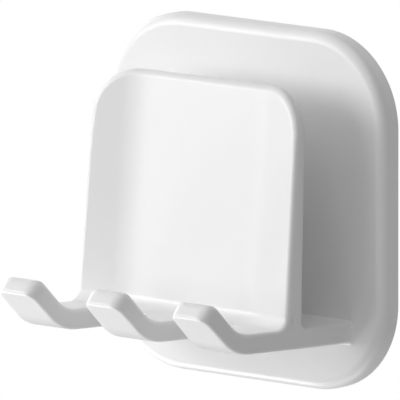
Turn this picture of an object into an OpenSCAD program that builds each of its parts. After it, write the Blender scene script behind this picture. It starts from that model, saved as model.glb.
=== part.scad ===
// Wall-held razor holder for a bathroom: a square wall pad with a tilted
// bracket that ends in three upturned hooks. Two razors hang in the gaps.
// Millimetres. The origin is the centre of the face that lies on the wall,
// +X is to the right, +Z is up and the hooks point towards -Y.

/* [Wall pad] */
// Width of the pad
pad_w = 90; // [84:1:110]
// Height of the pad
pad_h = 90; // [84:1:110]
// Distance from the wall to the pad's front face
pad_depth = 6; // [5.8:0.1:8]
// Corner radius of the pad, seen from the front
pad_corner_r = 23.2; // [14:0.2:28]
// Rounding of the pad's front edge
pad_edge_r = 2.8; // [1.6:0.1:3]
// Wall thickness of the pad's rim
rim_wall = 2; // [1.6:0.1:2.6]
// Wall thickness of the pad's front face
face_wall = 2; // [1.6:0.1:2.2]
// Gap that keeps the rim off the wall
rim_standoff = 0.3; // [0.1:0.1:0.6]

/* [Bracket] */
// Upward tilt of the whole bracket, in degrees
tilt = 3.75; // [0:0.05:6]
// Width of the shelf, hooks included
shelf_w = 68.6; // [64:0.2:74]
// Thickness of the shelf and the hooks
shelf_t = 4.7; // [4.4:0.1:5.4]
// Depth of the shelf from the pad to its edge between the hooks
shelf_d = 27.6; // [27.4:0.2:32]
// Height of the shelf's top above the pad's centre, where it meets the pad
shelf_z = -26.9; // [-30:0.1:-20]
// Fillet where the shelf springs from the pad
root_r = 1.2; // [0.6:0.1:2]
// Thickness of that fillet's outer edge on the pad's face
root_toe = 0.1; // [0.05:0.05:0.3]

/* [Panel] */
// Height of the panel above the shelf
panel_h = 58.8; // [40:0.2:62]
// Distance from the pad to the front of the panel's middle, at the shelf
panel_s = 21; // [19:0.2:24]
// Thickness of the panel at the shelf
panel_t = 5.6; // [5.4:0.1:6.5]
// Radius of the panel's top corners
panel_corner_r = 12; // [6:0.5:18]
// Rounding of the panel's edges
panel_edge_r = 1.2; // [0.6:0.1:1.4]
// Draft of the panel's front face, in degrees
front_draft = 1.7; // [0.5:0.1:1.8]
// Draft of the panel's rear face, in degrees
rear_draft = 1.2; // [0.5:0.1:1.3]
// Draft of the panel's sides, in degrees
side_draft = 0.9; // [0.3:0.1:2]
// Half the width of the flat middle of the dish
dish_flat = 17; // [10:0.5:20]
// Radius of the bends on both sides of the flat middle
dish_r = 29; // [15:1:40]
// Angle by which the sides sweep forward, in degrees
dish_angle = 14.5; // [8:0.5:18]
// Fillet between the panel's front and the shelf
front_fillet_r = 3; // [1.5:0.1:3.2]
// Fillet between the panel's rear and the shelf
rear_fillet_r = 2; // [1:0.1:3]

/* [Hooks] */
// Number of hooks, one more than the razors that hang between them
hook_count = 3; // [2:1:4]
// Width of a hook where it leaves the shelf
hook_w = 12; // [9:0.2:13]
// Width of a hook at its tip
tip_w = 10.7; // [8:0.1:11.8]
// Distance from the pad to the start of a hook's bend
hook_floor_d = 38.8; // [36:0.2:44]
// Inner radius of a hook's bend
hook_bend_r = 10; // [7:0.1:14]
// Angle by which a hook turns up from the shelf, in degrees
hook_rise = 39.5; // [30:0.5:50]
// Length of a hook's straight arm beyond its bend
hook_arm = 10.3; // [7:0.1:14]
// Rounding of a tip's inner edge
tip_inner_r = 2; // [1:0.1:2.4]
// Rounding of a tip's outer edge
tip_outer_r = 1.2; // [0.8:0.1:2]
// Rounding of a tip's two side corners
tip_side_r = 1.6; // [1:0.1:3]
// Radius of the inside corners between the hooks
gap_corner_r = 2; // [1:0.1:4]

/* [Inner plate and magnet] */
// Thickness of the inner plate
plate_t = 1.3; // [1.2:0.1:1.5]
// Thickness of the bonding tape
tape_t = 0.2; // [0.15:0.05:0.3]
// Thickness of the magnet sheet
magnet_t = 1.5; // [1.2:0.1:1.6]
// Thickness of the facing film
film_t = 0.2; // [0.15:0.05:0.3]
// Clearance of the plate, magnet and film to the rim
rim_gap = 0.3; // [0.2:0.05:0.6]
// Thickness of the ribs behind the pad's front face
rib_t = 1.2; // [0.8:0.1:1.6]
// Spacing of those ribs
rib_pitch = 17; // [14:1:24]

/* [Fastening] */
// Shank diameter of the bracket screws
screw_d = 2.2; // [2:0.1:2.4]
// Head diameter of the bracket screws
screw_head_d = 4.2; // [3.8:0.1:5]
// Length of the bracket screws
screw_len = 10; // [8:0.5:12]
// Spacing of the bracket screws
screw_pitch = 22; // [16:1:28]
// Diameter of the staked pins that hold the inner plate
pin_d = 3; // [2.4:0.1:3.6]
// Head diameter of those pins
pin_head_d = 4.6; // [4.2:0.1:5.6]
// Distance of the pins to the left and right of the middle
pin_x = 28; // [20:1:32]
// Height of the upper pins above the middle
pin_z_top = 28; // [18:1:30]
// Height of the lower pins above the middle
pin_z_low = -8; // [-14:1:4]
// Clearance of shanks and pins in their holes
hole_gap = 0.1; // [0.05:0.05:0.2]
// Clearance of the bracket's tongue in its slot
slot_gap = 0.1; // [0.05:0.05:0.2]

/* [Hidden] */
$fn = 64;
white_abs = "white";
cut = 1;
seat_gap = 0.05;
film_front = film_t;
magnet_front = film_front + magnet_t;
tape_front = magnet_front + tape_t;
plate_front = tape_front + plate_t;
cavity_front = pad_depth - face_wall;
seat_w = pad_w - 2 * rim_wall;
seat_h = pad_h - 2 * rim_wall;
seat_r = pad_corner_r - rim_wall;
hook_pitch = (shelf_w - hook_w) / (hook_count - 1);
hook_outer_r = hook_bend_r + shelf_t;
tip_s = hook_floor_d + hook_outer_r * sin(hook_rise) + hook_arm * cos(hook_rise);
screw_z = shelf_z - shelf_t / 2 / cos(tilt) + screw_len / 4 * tan(tilt);
pin_head_h = 0.6;
rib_low = shelf_z + 2 * shelf_t;
rib_high = pad_h / 2 - pad_corner_r / 2;
rib_reach = seat_w / 2 - 2 * rim_wall;
rib_end = plate_front + seat_gap;
arc_span = dish_r * sin(dish_angle);
arc_depth = dish_r * (1 - cos(dish_angle));
panel_corner_z = panel_h - panel_corner_r;
panel_corner_x = shelf_w / 2 - panel_corner_z * tan(side_draft) - panel_corner_r;
panel_top_t = panel_t - panel_h * (tan(front_draft) + tan(rear_draft));
edge_r = min(panel_edge_r, panel_top_t / 2 - seat_gap);
panel_sunk = 0.8;
panel_inset = 0.05;
columns = 36;
arc_steps = 10;
corner_steps = 8;
fillet_steps = 5;
edge_steps = 3;

// An outline with round corners, centred on the pad's axis
module rounded_outline(w, h, r) {
    square([w - 2 * r, h], center = true);
    square([w, h - 2 * r], center = true);
    for (x = [-1, 1], z = [-1, 1])
        translate([x * (w / 2 - r), z * (h / 2 - r)]) circle(r);
}

// A flat sheet parallel to the wall, between two distances from it
module sheet(w, h, r, from, to) {
    translate([0, -from, 0]) rotate([90, 0, 0])
        linear_extrude(to - from) rounded_outline(w, h, r);
}

// A round bar square to the wall, between two distances from it
module peg(d, from, to) {
    translate([0, -from, 0]) rotate([90, 0, 0]) cylinder(d = d, h = to - from);
}

// Half section of the pad's edge: x runs outwards, y towards the front
module edge_section(r_out) {
    depth = pad_depth - rim_standoff;
    square([r_out - pad_edge_r, depth]);
    square([r_out, depth - pad_edge_r]);
    translate([r_out - pad_edge_r, depth - pad_edge_r]) circle(pad_edge_r);
}

// One straight stretch of the pad's edge with its front rounding
module edge_strip(length) {
    rotate([90, 0, 90]) linear_extrude(length, center = true)
        edge_section(pad_corner_r);
}

// The pad's outer body: a middle block, four edges and four corners
module pad_body() {
    inner_w = pad_w - 2 * pad_corner_r;
    inner_h = pad_h - 2 * pad_corner_r;
    translate([0, -rim_standoff, 0]) rotate([90, 0, 0]) {
        linear_extrude(pad_depth - rim_standoff) square([inner_w, inner_h], center = true);
        for (side = [0, 180]) {
            rotate([0, 0, side]) translate([0, inner_h / 2, 0]) edge_strip(inner_w);
            rotate([0, 0, side + 90]) translate([0, inner_w / 2, 0]) edge_strip(inner_h);
        }
        for (x = [0, 1], y = [0, 1]) mirror([x, 0, 0]) mirror([0, y, 0])
            translate([inner_w / 2, inner_h / 2, 0])
                rotate_extrude(angle = 90) edge_section(pad_corner_r);
    }
}

module at_pins() {
    for (x = [-pin_x, pin_x], z = [pin_z_low, pin_z_top]) translate([x, 0, z]) children();
}

module at_screws() {
    for (i = [-1:1]) translate([i * screw_pitch, 0, screw_z]) children();
}

// Low ribs that stiffen the pad's front face and back the inner plate
module pad_ribs() {
    rib_h = cavity_front + face_wall / 2 - rib_end;
    side = floor((rib_reach - rib_t) / rib_pitch);
    rows = floor((rib_high - rib_low) / rib_pitch);
    for (i = [-side:side])
        translate([i * rib_pitch - rib_t / 2, -rib_end - rib_h, rib_low])
            cube([rib_t, rib_h, rib_high - rib_low]);
    for (i = [0:rows])
        translate([-rib_reach, -rib_end - rib_h, rib_low + i * rib_pitch - rib_t / 2])
            cube([2 * rib_reach, rib_h, rib_t]);
}

module pad_shell() color(white_abs) {
    difference() {
        pad_body();
        sheet(seat_w, seat_h, seat_r, rim_standoff - cut, cavity_front);
        in_bracket_frame() tongue(slot_gap);
    }
    pad_ribs();
    at_pins() {
        peg(pin_d, tape_front, cavity_front + face_wall / 2);
        peg(pin_head_d, tape_front, tape_front + pin_head_h - seat_gap);
    }
}

// The bracket's own frame: x to the right, -y out from the pad, z square to the shelf
module in_bracket_frame() {
    translate([0, -pad_depth, shelf_z]) rotate([-tilt, 0, 0]) children();
}

// The part of the shelf that passes through the pad's face and seats on the plate
module tongue(gap) {
    translate([-shelf_w / 2 - gap, -root_r, -shelf_t - gap])
        cube([shelf_w + 2 * gap, root_r + face_wall + pad_depth, shelf_t + 2 * gap]);
}

// Points along an arc
function arc(centre, r, from, to, steps = arc_steps) = [for (i = [0:steps])
    let (a = from + (to - from) * i / steps) centre + r * [cos(a), sin(a)]];

// Centre of the root fillet at height y, tangent to the pad's upright face
function flare_centre(y) = [(root_r + root_toe + y * sin(tilt)) / cos(tilt), y];

// A place on the arm: its distance beyond the bend, and below the inner face
function on_arm(along, below) = [hook_floor_d, hook_bend_r]
    + (hook_bend_r + below) * [sin(hook_rise), -cos(hook_rise)]
    + along * [cos(hook_rise), sin(hook_rise)];

// Side profile of the shelf and one hook: x runs out from the pad, y up
module side_profile() {
    low = -shelf_t - root_r;
    bend = [hook_floor_d, hook_bend_r];
    polygon(concat(
        [[-pad_depth, root_r]],
        arc(flare_centre(root_r), root_r, 180, 270),
        arc(bend, hook_bend_r, -90, hook_rise - 90),
        arc(on_arm(hook_arm - tip_inner_r, tip_inner_r), tip_inner_r,
            hook_rise + 90, hook_rise),
        arc(on_arm(hook_arm - tip_outer_r, shelf_t - tip_outer_r), tip_outer_r,
            hook_rise, hook_rise - 90),
        arc(bend, hook_outer_r, hook_rise - 90, -90),
        arc(flare_centre(low), root_r, 90, 180),
        [[-pad_depth, low]]));
}

// Plan of one hook, and of the inside corners beside it, centred on x
function hook_plan(x, first, last) = concat(
    first ? [] : arc([x - hook_w / 2 - gap_corner_r, shelf_d + gap_corner_r],
        gap_corner_r, -90, 0, corner_steps),
    [[x - hook_w / 2, hook_floor_d]],
    arc([x - tip_w / 2 + tip_side_r, tip_s - tip_side_r], tip_side_r, 180, 90, corner_steps),
    arc([x + tip_w / 2 - tip_side_r, tip_s - tip_side_r], tip_side_r, 90, 0, corner_steps),
    [[x + hook_w / 2, hook_floor_d]],
    last ? [] : arc([x + hook_w / 2 + gap_corner_r, shelf_d + gap_corner_r],
        gap_corner_r, 180, 270, corner_steps));

// Plan of the shelf and the hooks: x to the right, y out from the pad
module plan_profile() {
    flare_x = shelf_w / 2 + root_r;
    flare_y = root_r + root_toe;
    polygon(concat(
        [[-flare_x, -pad_depth]],
        arc([-flare_x, flare_y], root_r, -90, 0, corner_steps),
        [for (i = [0:hook_count - 1])
            each hook_plan((i - (hook_count - 1) / 2) * hook_pitch, i == 0, i == hook_count - 1)],
        arc([flare_x, flare_y], root_r, 180, 270, corner_steps),
        [[flare_x, -pad_depth]]));
}

// Shelf and hooks: what the side profile and the plan have in common
module shelf_and_hooks() {
    height = 4 * hook_outer_r;
    intersection() {
        rotate([90, 0, -90]) linear_extrude(shelf_w + 4 * root_r, center = true)
            side_profile();
        translate([0, 0, -height / 2]) mirror([0, 1, 0]) linear_extrude(height)
            plan_profile();
    }
}

// How far the dish has come forward at x
function dish(x) = let (a = abs(x) - dish_flat)
    a < 0 ? 0
    : a < arc_span ? dish_r - sqrt(dish_r * dish_r - a * a)
    : arc_depth + (a - arc_span) * tan(dish_angle);

// Reach of a fillet of radius r at height z above the shelf
function fillet_reach(z, r) = let (h = max(z, 0))
    h < r ? r - sqrt(r * r - (r - h) * (r - h)) : 0;

function front_y(x, z) = -(panel_s - z * tan(front_draft) + dish(x)
    + fillet_reach(z, front_fillet_r));
function rear_y(x, z) = -(panel_s - panel_t + z * tan(rear_draft) + dish(x)
    - fillet_reach(z, rear_fillet_r));

// Half width of the panel at height z, d inside its edge; its foot lies in the shelf
function half_w(z, d) = shelf_w / 2 - max(z, 0) * tan(side_draft) - d
    - (z < 0 ? panel_sunk / 2 : panel_inset);

// Points up the right side of the outline and round the corner, d inside the edge
function outline_side(d) = concat(
    [for (z = concat([-panel_sunk, panel_inset],
            [for (i = [1:fillet_steps]) front_fillet_r * (1 - cos(90 * i / fillet_steps))]))
        [half_w(z, d), z]],
    [for (i = [0:corner_steps]) let (a = 90 * i / corner_steps)
        [panel_corner_x + (panel_corner_r - d) * cos(a),
         panel_corner_z + (panel_corner_r - d) * sin(a)]]);
function grid_row(p) = [for (j = [0:columns]) [p.x * (2 * j / columns - 1), p.y]];

// Path round the outline: up the left side, along the top, down the right side
function outline_path(d) = let (side = outline_side(d), last = len(side) - 1,
        top = grid_row(side[last]))
    concat([for (i = [0:last - 1]) [-side[i].x, side[i].y]], top,
        [for (i = [last - 1:-1:0]) side[i]]);

// The dished panel with its two foot fillets and round edges, as one mesh
module dished_panel() {
    steps = edge_steps;
    inner = outline_side(edge_r);
    rows = len(inner);
    across = columns + 1;
    grid = [for (p = inner) each grid_row(p)];
    around = len(outline_path(0));
    ring = function (k, front) let (
            a = 90 * k / steps,
            d = edge_r * (1 - sin(a)),
            h = edge_r * (1 - cos(a)))
        [for (p = outline_path(d)) [p.x,
            front ? front_y(p.x, p.y) + h : rear_y(p.x, p.y) - h, p.y]];
    points = concat(
        [for (p = grid) [p.x, front_y(p.x, p.y), p.y]],
        [for (p = grid) [p.x, rear_y(p.x, p.y), p.y]],
        [for (k = [1:steps]) each ring(k, true)],
        [for (k = [1:steps]) each ring(k, false)]);
    count = rows * across;
    // Place of step j along the rim path in the front grid
    rim = function (j) j < rows - 1 ? j * across
        : j < rows - 1 + across ? (rows - 1) * across + j - rows + 1
        : (rows - 2 - (j - rows + 1 - across)) * across + columns;
    front_at = function (k, j) k == 0 ? rim(j) : 2 * count + (k - 1) * around + j;
    rear_at = function (k, j) k == 0 ? count + rim(j)
        : 2 * count + (steps + k - 1) * around + j;
    faces = concat(
        [for (i = [0:rows - 2], j = [0:columns - 1]) let (a = i * across + j)
            each [[a, a + across, a + 1], [a + 1, a + across, a + across + 1]]],
        [for (i = [0:rows - 2], j = [0:columns - 1]) let (a = count + i * across + j)
            each [[a, a + 1, a + across], [a + 1, a + across + 1, a + across]]],
        [for (k = [0:steps - 1], j = [0:around - 2]) each [
            [front_at(k, j), front_at(k + 1, j), front_at(k, j + 1)],
            [front_at(k, j + 1), front_at(k + 1, j), front_at(k + 1, j + 1)]]],
        [for (k = [0:steps - 1], j = [0:around - 2]) each [
            [rear_at(k, j), rear_at(k, j + 1), rear_at(k + 1, j)],
            [rear_at(k, j + 1), rear_at(k + 1, j + 1), rear_at(k + 1, j)]]],
        [for (j = [0:around - 2]) each [
            [front_at(steps, j), rear_at(steps, j), front_at(steps, j + 1)],
            [front_at(steps, j + 1), rear_at(steps, j), rear_at(steps, j + 1)]]],
        [concat([for (j = [0:columns]) j],
            [for (k = [1:steps]) front_at(k, around - 1)],
            [for (k = [steps:-1:1]) rear_at(k, around - 1)],
            [for (j = [columns:-1:0]) count + j],
            [for (k = [1:steps]) rear_at(k, 0)],
            [for (k = [steps:-1:1]) front_at(k, 0)])]);
    polyhedron(points, faces, convexity = 4);
}

module hook_bracket() color(white_abs) {
    difference() {
        in_bracket_frame() {
            shelf_and_hooks();
            dished_panel();
        }
        bracket_trim();
        at_screws() peg(screw_d + hole_gap, plate_front - cut,
            tape_front + screw_len + cut / 2);
    }
}

// What is cut from the bracket behind the pad's face: all but the tongue
module bracket_trim() {
    big = 2 * pad_w;
    difference() {
        translate([-big / 2, -pad_depth, -big / 2]) cube([big, big, big]);
        intersection() {
            in_bracket_frame() tongue(0);
            translate([-big / 2, -pad_depth - cut, -big / 2])
                cube([big, pad_depth - plate_front + cut, big]);
        }
    }
}

module inner_plate() color("gainsboro") {
    difference() {
        sheet(seat_w - 2 * rim_gap, seat_h - 2 * rim_gap, seat_r - rim_gap,
            tape_front, plate_front);
        at_pins() {
            peg(pin_d + 2 * hole_gap, tape_front - cut, plate_front + cut);
            peg(pin_head_d + 2 * hole_gap, tape_front - cut, tape_front + pin_head_h);
        }
        at_screws() {
            peg(screw_d + 2 * hole_gap, tape_front - cut, plate_front + cut);
            screw_head(hole_gap);
        }
    }
}

// Countersunk head, flush with the rear of the inner plate
module screw_head(gap) {
    head_h = (screw_head_d - screw_d) / 2;
    translate([0, -tape_front, 0]) rotate([90, 0, 0])
        cylinder(d1 = screw_head_d + 2 * gap, d2 = screw_d + 2 * gap, h = head_h);
}

module bracket_screws() color("silver") {
    recess_d = screw_d * 0.8;
    at_screws() difference() {
        union() {
            screw_head(0);
            peg(screw_d, tape_front, tape_front + screw_len - screw_d / 2);
            translate([0, -tape_front - screw_len + screw_d / 2, 0]) rotate([90, 0, 0])
                cylinder(d1 = screw_d, d2 = screw_d / 4, h = screw_d / 2);
        }
        for (a = [0, 90]) rotate([0, a, 0])
            translate([-recess_d / 2, -tape_front - screw_d / 3, -screw_d / 8])
                cube([recess_d, screw_d / 3 + cut, screw_d / 4]);
    }
}

module bonding_tape() color("whitesmoke")
    sheet(seat_w - 4 * rim_gap, seat_h - 4 * rim_gap, seat_r - 2 * rim_gap,
        magnet_front, tape_front);

module magnet_sheet() color("dimgray")
    sheet(seat_w - 2 * rim_gap, seat_h - 2 * rim_gap, seat_r - rim_gap,
        film_front, magnet_front);

module facing_film() color("white")
    sheet(seat_w - 2 * rim_gap, seat_h - 2 * rim_gap, seat_r - rim_gap,
        0, film_front);

pad_shell();
hook_bracket();
inner_plate();
bracket_screws();
bonding_tape();
magnet_sheet();
facing_film();
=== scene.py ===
import math

import bmesh
import bpy
from mathutils import Matrix, Vector


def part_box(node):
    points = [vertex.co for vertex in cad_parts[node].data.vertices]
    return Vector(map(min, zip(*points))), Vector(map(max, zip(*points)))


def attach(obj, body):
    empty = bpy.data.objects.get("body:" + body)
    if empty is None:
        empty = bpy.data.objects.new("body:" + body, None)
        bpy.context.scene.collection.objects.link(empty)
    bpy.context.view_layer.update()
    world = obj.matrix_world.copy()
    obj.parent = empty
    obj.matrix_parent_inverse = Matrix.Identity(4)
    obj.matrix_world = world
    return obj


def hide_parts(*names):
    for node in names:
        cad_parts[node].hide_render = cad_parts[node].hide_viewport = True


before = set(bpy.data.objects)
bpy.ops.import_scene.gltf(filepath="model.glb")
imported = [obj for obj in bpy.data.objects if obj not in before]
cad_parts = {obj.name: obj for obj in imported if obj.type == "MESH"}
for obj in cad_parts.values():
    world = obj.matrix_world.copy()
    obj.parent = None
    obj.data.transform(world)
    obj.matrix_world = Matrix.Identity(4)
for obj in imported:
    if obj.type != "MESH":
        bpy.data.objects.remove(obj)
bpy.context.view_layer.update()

mm = 0.001
hair = 0.01 * mm         # enough to tell two heights apart
squareOn = 0.9           # a face looks along an axis when its normal has this much of it
headOn = 0.99            # the same for a hook's end, beside round edges that lean only a little


# colours and nodes

def hexColour(code):
    # sRGB hex to the linear colour that the shader wants
    channels = [int(code[i:i + 2], 16) / 255 for i in (1, 3, 5)]
    return [c / 12.92 if c <= 0.04045 else ((c + 0.055) / 1.055) ** 2.4 for c in channels] + [1]


def addNode(tree, kind, settings=None, inputs=None):
    # an input is given a value, or another node's output to be linked to
    node = tree.nodes.new(kind)
    for name, value in (settings or {}).items():
        setattr(node, name, value)
    for name, value in (inputs or {}).items():
        if isinstance(value, bpy.types.NodeSocket):
            tree.links.new(value, node.inputs[name])
        else:
            node.inputs[name].default_value = value
    return node


def newMaterial(name):
    material = bpy.data.materials.new(name)
    material.use_nodes = True
    material.node_tree.nodes.clear()
    return material, material.node_tree


def dress(obj, material):
    obj.data.materials.clear()
    obj.data.materials.append(material)


# modelling, always in metres and in the holder's own frame

def deselectAll():
    if bpy.context.mode != "OBJECT":
        bpy.ops.object.mode_set(mode="OBJECT")
    bpy.ops.object.select_all(action="DESELECT")


def startBlock(name, low, high):
    # a cube primitive stretched between two corners, then opened for editing
    deselectAll()
    centre = [(a + b) / 2 for a, b in zip(low, high)]
    bpy.ops.mesh.primitive_cube_add(size=1, location=centre)
    block = bpy.context.object
    block.name = name
    block.scale = [b - a for a, b in zip(low, high)]
    bpy.ops.object.transform_apply(location=True, rotation=True, scale=True)
    bpy.ops.object.mode_set(mode="EDIT")
    return block


def pick(kind, test):
    # selects the edges or faces that pass the test
    bpy.ops.mesh.select_mode(type=kind)
    bpy.ops.mesh.select_all(action="DESELECT")
    mesh = bmesh.from_edit_mesh(bpy.context.object.data)
    mesh.normal_update()
    for part in {"EDGE": mesh.edges, "FACE": mesh.faces}[kind]:
        if test(part):
            part.select_set(True)
    mesh.select_flush_mode()
    bmesh.update_edit_mesh(bpy.context.object.data)


def cutAt(point, normal):
    # cuts through what is selected
    bpy.ops.mesh.bisect(plane_co=point, plane_no=normal)


def pull(step):
    bpy.ops.mesh.extrude_region_move(TRANSFORM_OT_translate={"value": step})


def roundOff(radius, steps):
    bpy.ops.mesh.bevel(offset=radius, segments=steps, profile=0.5, affect="EDGES",
                       clamp_overlap=False)


def near(a, b):
    return abs(a - b) < 2 * hair


def wayTo(azimuth, elevation):
    # from the holder, by degrees from its front to the right and by degrees up
    a, e = math.radians(azimuth), math.radians(elevation)
    return Vector((math.sin(a) * math.cos(e), -math.cos(a) * math.cos(e), math.sin(e)))


# camera: the photograph's own viewpoint, from the right and a little above

cameraSet = {
    "azimuth": 40.22, "elevation": 9.54, "roll": -0.09,
    "distance": 4.0, "clipStart": 0.5, "clipEnd": 30,
    "lens": 1447.2, "sensor": 36,
    "aimLeft": 14.93 * mm, "aimDown": 0.3 * mm,
}


def placeCamera():
    a = math.radians(cameraSet["azimuth"])
    back = wayTo(cameraSet["azimuth"], cameraSet["elevation"])
    right = Vector((math.cos(a), math.sin(a), 0))
    up = back.cross(right)
    cam = bpy.data.cameras.new("photoCamera")
    cam.lens = cameraSet["lens"]
    cam.sensor_width = cameraSet["sensor"]
    cam.clip_start, cam.clip_end = cameraSet["clipStart"], cameraSet["clipEnd"]
    obj = bpy.data.objects.new("photoCamera", cam)
    bpy.context.scene.collection.objects.link(obj)
    obj.location = back * cameraSet["distance"]
    target = -right * cameraSet["aimLeft"] - up * cameraSet["aimDown"]
    look = (target - obj.location).to_track_quat("-Z", "Y")
    roll = Matrix.Rotation(math.radians(cameraSet["roll"]), 4, "Z")
    obj.rotation_euler = (look.to_matrix().to_4x4() @ roll).to_euler()
    bpy.context.scene.camera = obj


placeCamera()
print("camera placed")


# light: soft round lamps, the strongest on the left, and a dim world

lampDistance = 1.5
lampSet = {              # azimuth and elevation in degrees, size in metres, power in watts
    "key": {"azimuth": -45, "elevation": 12, "size": 0.8, "power": 8.2},
    "fill": {"azimuth": -25, "elevation": 12, "size": 0.8, "power": 4.0},
    "high": {"azimuth": -45, "elevation": 35, "size": 0.8, "power": 2.6},
    "low": {"azimuth": -75, "elevation": -40, "size": 0.7, "power": 9.6},
    "rim": {"azimuth": -105, "elevation": 15, "size": 0.8, "power": 2.0},
    "under": {"azimuth": 0, "elevation": -80, "size": 1.0, "power": 6.0},
    "top": {"azimuth": 0, "elevation": 80, "size": 1.0, "power": 1.8},
    "right": {"azimuth": 30, "elevation": 45, "size": 1.0, "power": 2.1},
    "side": {"azimuth": 110, "elevation": -25, "size": 1.0, "power": 0.1},
    "back": {"azimuth": 175, "elevation": 20, "size": 1.0, "power": 2.0},
}
worldSet = {"strength": 0.262, "seenWhite": 1.0}


def addLamp(name, row):
    lamp = bpy.data.lights.new(name, "AREA")
    lamp.shape = "DISK"
    lamp.size = row["size"]
    lamp.energy = row["power"]
    obj = bpy.data.objects.new(name, lamp)
    bpy.context.scene.collection.objects.link(obj)
    obj.location = lampDistance * wayTo(row["azimuth"], row["elevation"])
    obj.rotation_euler = (-obj.location).to_track_quat("-Z", "Y").to_euler()


def makeWorld():
    # lights the holder weakly, but is plain white wherever it is seen, directly or in gloss
    world = bpy.data.worlds.new("studio")
    bpy.context.scene.world = world
    world.use_nodes = True
    tree = world.node_tree
    tree.nodes.clear()
    path = addNode(tree, "ShaderNodeLightPath")
    seen = addNode(tree, "ShaderNodeMath", {"operation": "ADD"}, {
        0: path.outputs["Is Camera Ray"], 1: path.outputs["Is Glossy Ray"]})
    seen = addNode(tree, "ShaderNodeMath", {"operation": "ADD"}, {
        0: seen.outputs[0], 1: path.outputs["Is Transmission Ray"]})
    strength = addNode(tree, "ShaderNodeMapRange", inputs={
        "Value": seen.outputs[0],
        "To Min": worldSet["strength"], "To Max": worldSet["seenWhite"]})
    glow = addNode(tree, "ShaderNodeBackground", inputs={
        "Color": (1, 1, 1, 1), "Strength": strength.outputs[0]})
    addNode(tree, "ShaderNodeOutputWorld", inputs={"Surface": glow.outputs[0]})


for lampName, row in lampSet.items():
    addLamp(lampName + "Lamp", row)
makeWorld()
bpy.context.scene.view_settings.view_transform = "Standard"
print("lights set")


# floor: the holder hangs on a wall, so the floor lies well below it and out of the picture

floorSet = {"drop": 1.75, "size": 7, "colour": "#EEEEEE", "rough": 0.8}


def layFloor():
    deselectAll()
    bpy.ops.mesh.primitive_plane_add(size=floorSet["size"], location=(0, 0, -floorSet["drop"]))
    floor = bpy.context.object
    floor.name = "paleFloor"
    bpy.ops.object.transform_apply(location=True, rotation=True, scale=True)
    material, tree = newMaterial("paleFloorPaint")
    paint = addNode(tree, "ShaderNodeBsdfPrincipled", inputs={
        "Base Color": hexColour(floorSet["colour"]), "Roughness": floorSet["rough"]})
    addNode(tree, "ShaderNodeOutputMaterial", inputs={"Surface": paint.outputs[0]})
    dress(floor, material)


layFloor()
print("floor laid")


# the bracket: shelf, dished panel and hooks, one white moulding

bracketSet = {           # lengths in millimetres, angles in degrees
    "tilt": 3.6, "shelfTop": -26.8,         # the shelf's top, where it meets the pad
    "halfWidth": 34.5, "thickness": 5.11,
    "shelfDepth": 28.2,                     # from the pad to the gaps between the hooks
    "panelRear": 14.9, "panelFront": 21.0, "panelHeight": 58.85,
    "rearDraft": 1.2, "frontDraft": 1.7, "sideDraft": 0.9,
    "cornerRadius": 12, "cornerSteps": 12,
    "dishFlat": 17, "dishRadius": 29,       # the flat runs this far from the middle
    "dishAngle": 16, "dishSteps": 8,
    "frontFillet": 3.0, "rearFillet": 2.0, "filletSteps": 6,
    "hookWidth": 12.95, "tipWidth": 11.9, "tipGrowth": 0.6,
    "hookFloor": 38.3, "bendRadius": 10.1,  # where the bend starts, and its inner radius
    "hookRise": 38.9, "bendSteps": 12, "armLength": 10.3, "gapCorner": 2.0,
    "sideRound": 2.3, "topRound": 1.6,      # the panel's front outline, side and top
    "rearRound": 0.8, "hookRound": 0.85, "innerRound": 0.5, "roundSteps": 5,
    "tipInner": 3.0, "tipOuter": 0.8, "tipSide": 3.2, "tipSteps": 8,
    "rootRadius": 2.4, "rootSpread": 0.6,   # the root fillet's length and height
    "rootLip": 0.1, "rootSteps": 6, "tongueEnd": 3.2,
    "roundedAngle": 50, "sharpAngle": 40,   # sharper edges get a round, or a crease in shading
    "mergeRoom": 0.002,
}
unscaled = ("tilt", "Draft", "Angle", "Rise", "Steps")
size = {name: value if name.endswith(unscaled) else value * mm
        for name, value in bracketSet.items()}
tipDepth = max(size["tipInner"], size["tipOuter"], size["tipSide"])
rise = math.radians(size["hookRise"])
armWay = Vector((0, -math.cos(rise), math.sin(rise)))       # along a hook's arm to its tip
armDown = Vector((0, -math.sin(rise), -math.cos(rise)))     # out of the arm's lower side
bendCentre = Vector((0, -size["hookFloor"], size["bendRadius"]))
hookPlaces = [side * (size["halfWidth"] - size["hookWidth"] / 2) for side in (-1, 0, 1)]
padFace = -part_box("pad_shell")[0].y


def hookAt(x):
    return min(hookPlaces, key=lambda place: abs(place - x))


def dishAt(x):
    # how far the panel has swept forward at x
    swept = math.radians(size["dishAngle"])
    past = abs(x) - size["dishFlat"]
    reach = size["dishRadius"] * math.sin(swept)
    if past <= 0:
        return 0
    if past < reach:
        return size["dishRadius"] - math.sqrt(size["dishRadius"] ** 2 - past ** 2)
    return size["dishRadius"] * (1 - math.cos(swept)) + (past - reach) * math.tan(swept)


def rollOver(radius, start, along):
    # how much a round edge has drawn in, at a distance along that it starts from
    a = max(along - start, 0)
    return radius - math.sqrt(max(radius ** 2 - a ** 2, 0))


def easeSteps(steps):
    # shares of a quarter round, close together at its end
    return [math.sin(math.pi / 2 * i / steps) for i in range(steps + 1)]


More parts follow.
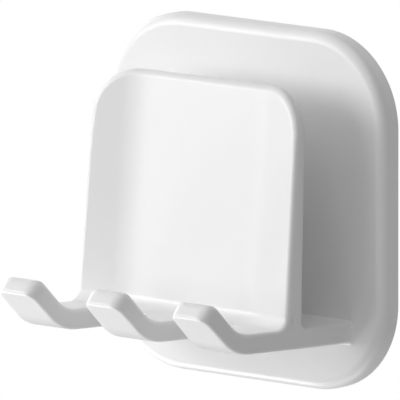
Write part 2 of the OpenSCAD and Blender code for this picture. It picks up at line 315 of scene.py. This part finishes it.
def growPanel():
    height = size["panelHeight"]
    thick = size["panelFront"] - size["panelRear"]
    leanFront = height * math.tan(math.radians(size["frontDraft"]))
    leanRear = height * math.tan(math.radians(size["rearDraft"]))
    leanSide = height * math.tan(math.radians(size["sideDraft"]))
    for place in (size["panelRear"], size["panelFront"]):
        bpy.ops.mesh.select_all(action="SELECT")
        cutAt((0, -place, 0), (0, 1, 0))
    pick("FACE", lambda f: f.normal.z > squareOn
         and -size["panelFront"] < f.calc_center_median().y < -size["panelRear"])
    pull((0, 0, height))
    # one resize of the top leans every side by its own draft, about the line that stays still
    squeeze = 1 - (leanFront + leanRear) / thick
    still = (size["panelFront"] * (1 - squeeze) - leanFront) / (1 - squeeze)
    bpy.ops.transform.resize(
        value=(1 - leanSide / size["halfWidth"], squeeze, 1),
        center_override=(0, -still, height))
    for place, fillet in (("panelFront", "frontFillet"), ("panelRear", "rearFillet")):
        pick("EDGE", lambda e: all(near(v.co.z, 0) and near(v.co.y, -size[place])
                                   for v in e.verts))
        roundOff(size[fillet], size["filletSteps"])
    pick("EDGE", lambda e: all(near(v.co.z, height) for v in e.verts)
         and abs(e.verts[0].co.x - e.verts[1].co.x) < mm)
    roundOff(size["cornerRadius"], size["cornerSteps"])


def isInner(point):
    # on the inner side of a hook's bend or arm
    away = point - Vector((point.x, bendCentre.y, bendCentre.z))
    depth = away.dot(armDown) if away.dot(armWay) > 0 else away.length
    return point.y < -size["hookFloor"] and depth < size["bendRadius"] + mm


def isShelfFront(f):
    return f.normal.y < -squareOn and near(f.calc_center_median().y, -size["shelfDepth"])


def isGapCorner(e):
    # an upright edge where a hook's side meets the shelf's front between the hooks
    return (near(e.verts[0].co.x, e.verts[1].co.x)
            and all(near(v.co.y, -size["shelfDepth"])
                    and abs(v.co.x) < size["halfWidth"] - mm for v in e.verts))


def growHooks():
    for place in hookPlaces:
        for x in (place - size["hookWidth"] / 2, place + size["hookWidth"] / 2):
            if abs(x) < size["halfWidth"] - mm:
                pick("FACE", isShelfFront)
                cutAt((x, 0, 0), (1, 0, 0))
    pick("FACE", lambda f: isShelfFront(f)
         and any(near(f.calc_center_median().x, place) for place in hookPlaces))
    pull((0, size["shelfDepth"] - size["hookFloor"], 0))
    bpy.ops.mesh.spin(steps=size["bendSteps"], angle=rise, center=bendCentre, axis=(1, 0, 0))
    pull(armWay * (size["armLength"] - tipDepth))
    # towards the tip the hooks get narrower and a little thicker
    mesh = bmesh.from_edit_mesh(bpy.context.object.data)
    tip = min(v.co.y for v in mesh.verts)
    for v in mesh.verts:
        if v.co.y < -size["hookFloor"]:
            share = (v.co.y + size["hookFloor"]) / (tip + size["hookFloor"])
            centre = hookAt(v.co.x)
            v.co.x = centre + (v.co.x - centre) * (
                1 - share * (1 - size["tipWidth"] / size["hookWidth"]))
            if isInner(v.co):
                v.co -= armDown * share * size["tipGrowth"]
    pick("EDGE", isGapCorner)
    roundOff(size["gapCorner"], size["filletSteps"])


def isHookEnd(f):
    return f.normal.dot(armWay) > headOn and f.calc_center_median().y < -size["hookFloor"]


def isRootEnd(f):
    return f.normal.y > squareOn and f.calc_center_median().y > -2 * size["rootRadius"]


def isOuter(e):
    # a sharp outside edge that runs on neither a hook's end nor the root
    return (len(e.link_faces) == 2
            and e.calc_face_angle_signed() > math.radians(size["roundedAngle"])
            and not any(isHookEnd(f) or isRootEnd(f) for f in e.link_faces))


def onPanel(point, foot):
    # 0 up to the foot's height, and above it +1 near the front face or -1 near the rear face
    if point.z < foot + hair:
        return 0
    front = size["panelFront"] - point.z * math.tan(math.radians(size["frontDraft"]))
    rear = size["panelRear"] + point.z * math.tan(math.radians(size["rearDraft"]))
    return 1 if -point.y > (front + rear) / 2 else -1


def weighEdges(radius, test):
    # how round the chosen edges get, as a share of the roundest; weights add up, so the old
    # one goes first
    pick("EDGE", lambda e: isOuter(e) and test((e.verts[0].co + e.verts[1].co) / 2))
    bpy.ops.transform.edge_bevelweight(value=-1)
    bpy.ops.transform.edge_bevelweight(value=radius / size["sideRound"])


def weighFront(start, end, share, foot):
    # the panel's front outline above the foot, part of the way from one radius to another
    weighEdges(size[start] + (size[end] - size[start]) * share, lambda p: onPanel(p, foot) > 0)


def roundEdges(piece):
    # the panel's front outline is the roundest; down its foot it flows into the hooks' edges
    weighEdges(size["hookRound"], lambda p: True)
    weighEdges(size["innerRound"], isInner)
    weighEdges(size["rearRound"], lambda p: onPanel(p, 0) < 0)
    for i in range(size["filletSteps"]):
        foot = size["frontFillet"] * (1 - math.cos(math.pi / 2 * i / size["filletSteps"]))
        weighFront("hookRound", "sideRound", (i + 1) / (size["filletSteps"] + 1), foot)
    weighEdges(size["sideRound"], lambda p: onPanel(p, size["frontFillet"]) > 0)
    cornerFoot = size["panelHeight"] - size["cornerRadius"]
    for i, turned in enumerate(easeSteps(size["cornerSteps"])[:-1]):
        foot = cornerFoot + size["cornerRadius"] * turned
        weighFront("sideRound", "topRound", (i + 1) / (size["cornerSteps"] + 1), foot)
    bpy.ops.object.mode_set(mode="OBJECT")
    rounding = piece.modifiers.new("rounding", "BEVEL")
    rounding.limit_method = "WEIGHT"
    rounding.width, rounding.segments = size["sideRound"], size["roundSteps"]
    rounding.use_clamp_overlap = False
    bpy.ops.object.modifier_apply(modifier=rounding.name)
    bpy.ops.object.mode_set(mode="EDIT")


def roundTips():
    # short pulls carry the arm's end round; at each the end's half width and the levels of
    # its inner and outer side are drawn in by their own radius
    armStart = bendCentre + armDown * size["bendRadius"]
    before = (size["tipWidth"] / 2, -size["tipGrowth"], size["thickness"])
    done = 0
    for share in easeSteps(size["tipSteps"])[1:]:
        along = tipDepth * share
        drawn = [rollOver(size[radius], tipDepth - size[radius], along)
                 for radius in ("tipSide", "tipInner", "tipOuter")]
        now = (size["tipWidth"] / 2 - drawn[0], drawn[1] - size["tipGrowth"],
               size["thickness"] - drawn[2])
        pick("FACE", isHookEnd)
        pull(armWay * (along - done))
        mesh = bmesh.from_edit_mesh(bpy.context.object.data)
        for v in [v for v in mesh.verts if v.select]:
            centre = hookAt(v.co.x)
            depth = (v.co - armStart).dot(armDown)
            level = now[1] + (depth - before[1]) * (now[2] - now[1]) / (before[2] - before[1])
            v.co += armDown * (level - depth)
            v.co.x = centre + (v.co.x - centre) * now[0] / before[0]
        bmesh.update_edit_mesh(bpy.context.object.data)
        before, done = now, along


def dishPanel():
    # upright cuts where the bend runs, then the panel with its fillets is swept forward,
    # down to below the round edge at its foot
    foot = -2 * size["hookRound"]
    for i in range(size["dishSteps"] + 1):
        turn = math.radians(size["dishAngle"]) * i / size["dishSteps"]
        x = size["dishFlat"] + size["dishRadius"] * math.sin(turn)
        for side in (-1, 1):
            pick("FACE", lambda f: f.calc_center_median().z > foot
                 and f.calc_center_median().y > -size["panelFront"] - size["frontFillet"])
            cutAt((side * x, 0, 0), (1, 0, 0))
    rear = size["panelRear"] - size["rearFillet"] - 5 * hair
    front = size["panelFront"] + size["frontFillet"] + 5 * hair
    mesh = bmesh.from_edit_mesh(bpy.context.object.data)
    for v in mesh.verts:
        if rear < -v.co.y < front and v.co.z > foot:
            v.co.y -= dishAt(v.co.x)
    bmesh.update_edit_mesh(bpy.context.object.data)


def tiltBracket(piece):
    bpy.ops.object.mode_set(mode="OBJECT")
    piece.rotation_euler = (-math.radians(size["tilt"]), 0, 0)
    piece.location = (0, -padFace, size["shelfTop"])
    bpy.ops.object.transform_apply(location=True, rotation=True, scale=True)
    bpy.ops.object.mode_set(mode="EDIT")


def flareRoot():
    # the shelf spreads on the pad in a long slim fillet, and its tongue goes on through the slot
    tilt = math.radians(size["tilt"])
    length = size["rootRadius"] + size["rootLip"]
    start = -padFace - length
    halfWidth, halfHeight = size["halfWidth"], size["thickness"] / 2 / math.cos(tilt)
    middle = size["shelfTop"] - halfHeight + length * math.tan(tilt)
    pick("FACE", lambda f: f.normal.y > squareOn and f.calc_center_median().y > start - mm)
    bpy.ops.transform.resize(value=(1, 0, 1), center_override=(0, start, 0))
    grown, done = 0, 0
    for share in easeSteps(size["rootSteps"])[1:]:
        along = size["rootRadius"] * share
        more = (rollOver(size["rootRadius"], 0, along)
                * size["rootSpread"] / size["rootRadius"])
        pull((0, along - done, 0))
        bpy.ops.transform.resize(
            value=((halfWidth + more) / (halfWidth + grown), 1,
                   (halfHeight + more) / (halfHeight + grown)),
            center_override=(0, start + along, middle))
        grown, done = more, along
    pull((0, size["rootLip"], 0))
    pull((0, 0, 0))                          # a new edge, drawn back in to the tongue's size
    bpy.ops.transform.resize(
        value=(halfWidth / (halfWidth + grown), 1, halfHeight / (halfHeight + grown)),
        center_override=(0, -padFace, middle))
    deep = padFace - size["tongueEnd"]
    pull((0, deep, -deep * math.tan(tilt)))


def closeMesh(piece):
    bpy.ops.mesh.select_all(action="SELECT")
    bpy.ops.mesh.remove_doubles(threshold=size["mergeRoom"])
    bpy.ops.mesh.normals_make_consistent(inside=False)
    bpy.ops.object.mode_set(mode="OBJECT")
    bpy.ops.object.shade_smooth_by_angle(angle=math.radians(size["sharpAngle"]))
    flatFaces = piece.modifiers.new("flatFaces", "WEIGHTED_NORMAL")
    flatFaces.keep_sharp = True
    bpy.ops.object.modifier_apply(modifier=flatFaces.name)


def makeBracket():
    piece = startBlock("hookBracket",
                       (-size["halfWidth"], -size["shelfDepth"], -size["thickness"]),
                       (size["halfWidth"], -size["rootRadius"] - size["rootLip"], 0))
    growPanel()
    growHooks()
    roundEdges(piece)
    roundTips()
    dishPanel()
    tiltBracket(piece)
    flareRoot()
    closeMesh(piece)
    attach(piece, "root")
    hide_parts("hook_bracket")
    return piece


hookBracket = makeBracket()
print("bracket modelled:", len(hookBracket.data.polygons), "faces")


# finishes: pattern sizes and depths in millimetres

atZero, atOne, mixed = 6, 7, 2       # a Mix node's colour at factor 0 and at 1, and its result


def perSize(millimetres):
    # pattern scale for a feature of that size on Object coordinates, which are in metres
    return 1 / (millimetres * mm)


absSet = {
    "light": "#F0F0F0", "shade": "#EDEDED", "ior": 1.53, "smooth": 0.30, "dull": 0.36,
    "flow": 16, "ripple": 1.4, "rippleDepth": 0.004,
}


def makeMouldedAbs():
    # ABS injection moulded in a polished tool: a clean soft gloss, with the slow
    # changes of gloss that the melt's flow leaves and a hardly visible ripple
    material, tree = newMaterial("mouldedWhiteAbs")
    place = addNode(tree, "ShaderNodeTexCoord").outputs["Object"]
    flow = addNode(tree, "ShaderNodeTexNoise", inputs={
        "Vector": place, "Scale": perSize(absSet["flow"]), "Detail": 3, "Roughness": 0.45})
    ripple = addNode(tree, "ShaderNodeTexNoise", inputs={
        "Vector": place, "Scale": perSize(absSet["ripple"]), "Detail": 1})
    colour = addNode(tree, "ShaderNodeMix", {"data_type": "RGBA"}, {
        "Factor": flow.outputs[0],
        atZero: hexColour(absSet["shade"]), atOne: hexColour(absSet["light"])})
    gloss = addNode(tree, "ShaderNodeMapRange", inputs={
        "Value": flow.outputs[0], "From Min": 0.3, "From Max": 0.7,
        "To Min": absSet["smooth"], "To Max": absSet["dull"]})
    bump = addNode(tree, "ShaderNodeBump", inputs={
        "Height": ripple.outputs[0], "Strength": 1.0, "Distance": absSet["rippleDepth"] * mm})
    shader = addNode(tree, "ShaderNodeBsdfPrincipled", inputs={
        "Base Color": colour.outputs[mixed], "Roughness": gloss.outputs[0],
        "IOR": absSet["ior"], "Normal": bump.outputs[0]})
    addNode(tree, "ShaderNodeOutputMaterial", inputs={"Surface": shader.outputs[0]})
    return material


plateSet = {
    "light": "#DEDEDC", "shade": "#D6D6D3", "ior": 1.53, "rough": 0.55,
    "spark": 0.5, "sparkDepth": 0.02,
}


def makeSparkedPlate():
    # the same plastic from a spark-eroded tool: dull, with a fine even grain,
    # drawn at half a millimetre so that it shows
    material, tree = newMaterial("sparkedPlainAbs")
    place = addNode(tree, "ShaderNodeTexCoord").outputs["Object"]
    spark = addNode(tree, "ShaderNodeTexNoise", inputs={
        "Vector": place, "Scale": perSize(plateSet["spark"]), "Detail": 3})
    colour = addNode(tree, "ShaderNodeMix", {"data_type": "RGBA"}, {
        "Factor": spark.outputs[0],
        atZero: hexColour(plateSet["shade"]), atOne: hexColour(plateSet["light"])})
    bump = addNode(tree, "ShaderNodeBump", inputs={
        "Height": spark.outputs[0], "Strength": 0.8, "Distance": plateSet["sparkDepth"] * mm})
    shader = addNode(tree, "ShaderNodeBsdfPrincipled", inputs={
        "Base Color": colour.outputs[mixed], "Roughness": plateSet["rough"],
        "IOR": plateSet["ior"], "Normal": bump.outputs[0]})
    addNode(tree, "ShaderNodeOutputMaterial", inputs={"Surface": shader.outputs[0]})
    return material


zincSet = {"light": "#CDD0D4", "shade": "#B9BDC3", "smooth": 0.26, "dull": 0.45, "crystal": 0.6}


def makeZincSteel():
    # cold-headed steel, bright zinc plated: a cool metal with small patches of duller crystal
    material, tree = newMaterial("platedZincSteel")
    place = addNode(tree, "ShaderNodeTexCoord").outputs["Object"]
    crystal = addNode(tree, "ShaderNodeTexVoronoi", inputs={
        "Vector": place, "Scale": perSize(zincSet["crystal"])})
    # the middle of a crystal is the lighter and smoother part
    colour = addNode(tree, "ShaderNodeMix", {"data_type": "RGBA"}, {
        "Factor": crystal.outputs["Distance"],
        atZero: hexColour(zincSet["light"]), atOne: hexColour(zincSet["shade"])})
    gloss = addNode(tree, "ShaderNodeMapRange", inputs={
        "Value": crystal.outputs["Distance"], "From Max": 0.8,
        "To Min": zincSet["smooth"], "To Max": zincSet["dull"]})
    shader = addNode(tree, "ShaderNodeBsdfPrincipled", inputs={
        "Base Color": colour.outputs[mixed], "Metallic": 1.0,
        "Roughness": gloss.outputs[0]})
    addNode(tree, "ShaderNodeOutputMaterial", inputs={"Surface": shader.outputs[0]})
    return material


tapeSet = {"light": "#E7E4DC", "shade": "#DAD6CC", "ior": 1.48, "rough": 0.62, "fibre": 0.8}


def makeBondingTape():
    # tissue tape coated with acrylic glue on both sides: a creamy film with cloudy fibres
    material, tree = newMaterial("coatedTissueTape")
    place = addNode(tree, "ShaderNodeTexCoord").outputs["Object"]
    fibre = addNode(tree, "ShaderNodeTexNoise", inputs={
        "Vector": place, "Scale": perSize(tapeSet["fibre"]), "Detail": 4, "Distortion": 1.5})
    colour = addNode(tree, "ShaderNodeMix", {"data_type": "RGBA"}, {
        "Factor": fibre.outputs[0],
        atZero: hexColour(tapeSet["shade"]), atOne: hexColour(tapeSet["light"])})
    shader = addNode(tree, "ShaderNodeBsdfPrincipled", inputs={
        "Base Color": colour.outputs[mixed], "Roughness": tapeSet["rough"],
        "IOR": tapeSet["ior"]})
    addNode(tree, "ShaderNodeOutputMaterial", inputs={"Surface": shader.outputs[0]})
    return material


magnetSet = {
    "light": "#45413F", "shade": "#332F2E", "ior": 1.52, "rough": 0.72,
    "streak": 0.5, "streakDepth": 0.02, "stretch": 0.06,
}


def makeMagnetSheet():
    # rubber filled with ferrite and calendered: almost black, dull, streaked along the rolling
    material, tree = newMaterial("calenderedFerriteRubber")
    place = addNode(tree, "ShaderNodeTexCoord").outputs["Object"]
    rolled = addNode(tree, "ShaderNodeMapping", inputs={
        "Vector": place, "Scale": (magnetSet["stretch"], 1, 1)})
    streak = addNode(tree, "ShaderNodeTexNoise", inputs={
        "Vector": rolled.outputs[0], "Scale": perSize(magnetSet["streak"]), "Detail": 4})
    colour = addNode(tree, "ShaderNodeMix", {"data_type": "RGBA"}, {
        "Factor": streak.outputs[0],
        atZero: hexColour(magnetSet["shade"]), atOne: hexColour(magnetSet["light"])})
    bump = addNode(tree, "ShaderNodeBump", inputs={
        "Height": streak.outputs[0], "Strength": 0.7,
        "Distance": magnetSet["streakDepth"] * mm})
    shader = addNode(tree, "ShaderNodeBsdfPrincipled", inputs={
        "Base Color": colour.outputs[mixed], "Roughness": magnetSet["rough"],
        "IOR": magnetSet["ior"], "Normal": bump.outputs[0]})
    addNode(tree, "ShaderNodeOutputMaterial", inputs={"Surface": shader.outputs[0]})
    return material


facingSet = {
    "light": "#EBEBE8", "shade": "#E1E1DD", "ior": 1.53, "rough": 0.46,
    "pebble": 0.7, "pebbleDepth": 0.03,
}


def makeFacingVinyl():
    # white vinyl embossed on a roller: a soft sheen broken by small flat pebbles
    material, tree = newMaterial("embossedWhiteVinyl")
    place = addNode(tree, "ShaderNodeTexCoord").outputs["Object"]
    pebble = addNode(tree, "ShaderNodeTexVoronoi", {"feature": "SMOOTH_F1"}, {
        "Vector": place, "Scale": perSize(facingSet["pebble"]), "Smoothness": 0.6})
    # a pebble's middle stands highest; its colour is painted lighter there and darker in the
    # grooves between pebbles, a painted highlight on the crowns and painted shade in the dips
    colour = addNode(tree, "ShaderNodeMix", {"data_type": "RGBA"}, {
        "Factor": pebble.outputs["Distance"],
        atZero: hexColour(facingSet["light"]), atOne: hexColour(facingSet["shade"])})
    bump = addNode(tree, "ShaderNodeBump", inputs={
        "Height": pebble.outputs["Distance"], "Strength": 0.6,
        "Distance": -facingSet["pebbleDepth"] * mm})
    shader = addNode(tree, "ShaderNodeBsdfPrincipled", inputs={
        "Base Color": colour.outputs[mixed], "Roughness": facingSet["rough"],
        "IOR": facingSet["ior"], "Normal": bump.outputs[0]})
    addNode(tree, "ShaderNodeOutputMaterial", inputs={"Surface": shader.outputs[0]})
    return material


mouldedAbs = makeMouldedAbs()
finishOf = {
    "pad_shell": mouldedAbs, "hook_bracket": mouldedAbs, "inner_plate": makeSparkedPlate(),
    "bracket_screws": makeZincSteel(), "bonding_tape": makeBondingTape(),
    "magnet_sheet": makeMagnetSheet(), "facing_film": makeFacingVinyl(),
}
for nodeName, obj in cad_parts.items():
    dress(obj, finishOf[nodeName])
dress(hookBracket, mouldedAbs)
print("finishes set")
